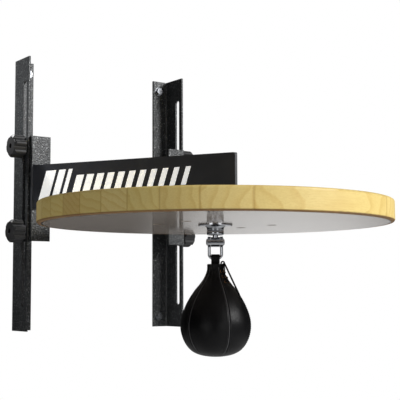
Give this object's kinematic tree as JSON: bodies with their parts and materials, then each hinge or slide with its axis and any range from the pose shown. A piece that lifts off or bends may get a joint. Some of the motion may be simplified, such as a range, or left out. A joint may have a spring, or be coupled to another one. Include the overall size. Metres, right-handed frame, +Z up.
{
  "type": "speed bag platform",
  "caption": "Wall-mounted speed bag platform: round wooden backboard on a steel frame that slides in slotted wall rails, clamped by hand knobs, with a swivel-hung leather bag.",
  "frame": {"origin": "on the wall plane, centre of the four wall bolts, midway between the rails at their mid-height", "axes": "+X along the wall to the right as seen from the room, +Y into the wall, +Z up"},
  "size_m": [0.6096, 0.7381, 0.5687],
  "materials": {
    "rail_paint": "hammered powder coat",
    "arm_paint": "satin powder coat",
    "zinc": "zinc plated",
    "plastic": "moulded, satin",
    "board_wood": "clear lacquer",
    "strike_laminate": "semi-gloss laminate",
    "chrome": "polished",
    "nylon": "natural",
    "bag_leather": "satin",
    "bladder_rubber": "matte",
    "eyelet_bronze": "antique",
    "lace_leather": "satin"
  },
  "bodies": {
    "wall_frame": {"left_rail": "rail_paint", "right_rail": "rail_paint", "left_wall_bolts": "zinc", "right_wall_bolts": "zinc", "left_bolt_washers": "zinc", "right_bolt_washers": "zinc"},
    "platform": {"left_slider_angle": "rail_paint", "right_slider_angle": "rail_paint", "left_weld_nuts": "zinc", "right_weld_nuts": "zinc", "cross_plate": "arm_paint", "left_arm": "arm_paint", "right_arm": "arm_paint", "mounting_plate": "arm_paint", "board_bolts": "zinc", "board_washers": "zinc", "board_nuts": "zinc", "backboard": "board_wood", "strike_face": "strike_laminate", "swivel_plate": "chrome", "swivel_screws": "chrome", "swivel_cup": "chrome", "swivel_seat": "nylon"},
    "swivel": {"swivel_ball": "chrome", "swivel_pin": "chrome"},
    "bail": {"swivel_bail": "chrome"},
    "bag": {"bag_loop": "bag_leather", "throat_plug": "bag_leather", "bag_shell": "bag_leather", "bag_bladder": "bladder_rubber", "bladder_valve": "bladder_rubber", "bag_eyelets": "eyelet_bronze", "lace_end": "lace_leather"},
    "left_upper_clamp": {"left_upper_washer": "zinc"},
    "left_upper_handle": {"left_upper_knob": "plastic", "left_upper_stud": "zinc"},
    "left_lower_clamp": {"left_lower_washer": "zinc"},
    "left_lower_handle": {"left_lower_knob": "plastic", "left_lower_stud": "zinc"},
    "right_upper_clamp": {"right_upper_washer": "zinc"},
    "right_upper_handle": {"right_upper_knob": "plastic", "right_upper_stud": "zinc"},
    "right_lower_clamp": {"right_lower_washer": "zinc"},
    "right_lower_handle": {"right_lower_knob": "plastic", "right_lower_stud": "zinc"}
  },
  "joints": [
    {"name": "height_slide", "type": "slide", "parent": "wall_frame", "child": "platform", "axis": [0, 0, 1], "range_m": [-0.135, 0.12]},
    {"name": "swivel_spin", "type": "hinge", "parent": "platform", "child": "swivel", "pos_m": [0, -0.4203, -0.0882], "axis": [0, 0, 1], "continuous": true},
    {"name": "bail_swing", "type": "hinge", "parent": "swivel", "child": "bail", "pos_m": [0, -0.4203, -0.1066], "axis": [0.809, -0.5878, 0], "range_deg": [-40, 40]},
    {"name": "bag_swing", "type": "hinge", "parent": "bail", "child": "bag", "pos_m": [0, -0.4203, -0.134], "axis": [0.809, -0.5878, 0], "range_deg": [-35, 35]},
    {"name": "left_upper_back_off", "type": "slide", "parent": "platform", "child": "left_upper_clamp", "axis": [-1, 0, 0], "range_m": [0, 0.003]},
    {"name": "left_upper_turn", "type": "hinge", "parent": "left_upper_clamp", "child": "left_upper_handle", "pos_m": [-0.2, -0.046, 0.089], "axis": [-1, 0, 0], "range_deg": [0, 720]},
    {"name": "left_lower_back_off", "type": "slide", "parent": "platform", "child": "left_lower_clamp", "axis": [-1, 0, 0], "range_m": [0, 0.003]},
    {"name": "left_lower_turn", "type": "hinge", "parent": "left_lower_clamp", "child": "left_lower_handle", "pos_m": [-0.2, -0.046, -0.075], "axis": [-1, 0, 0], "range_deg": [0, 720]},
    {"name": "right_upper_back_off", "type": "slide", "parent": "platform", "child": "right_upper_clamp", "axis": [1, 0, 0], "range_m": [0, 0.003]},
    {"name": "right_upper_turn", "type": "hinge", "parent": "right_upper_clamp", "child": "right_upper_handle", "pos_m": [0.2, -0.046, 0.089], "axis": [1, 0, 0], "range_deg": [0, 720]},
    {"name": "right_lower_back_off", "type": "slide", "parent": "platform", "child": "right_lower_clamp", "axis": [1, 0, 0], "range_m": [0, 0.003]},
    {"name": "right_lower_turn", "type": "hinge", "parent": "right_lower_clamp", "child": "right_lower_handle", "pos_m": [0.2, -0.046, -0.075], "axis": [1, 0, 0], "range_deg": [0, 720]}
  ],
  "couplings": [
    {"joint": "left_upper_back_off", "follows": "left_upper_turn", "m_per_rad": 0.00023871},
    {"joint": "left_lower_back_off", "follows": "left_lower_turn", "m_per_rad": 0.00023871},
    {"joint": "right_upper_back_off", "follows": "right_upper_turn", "m_per_rad": 0.00023871},
    {"joint": "right_lower_back_off", "follows": "right_lower_turn", "m_per_rad": 0.00023871}
  ]
}
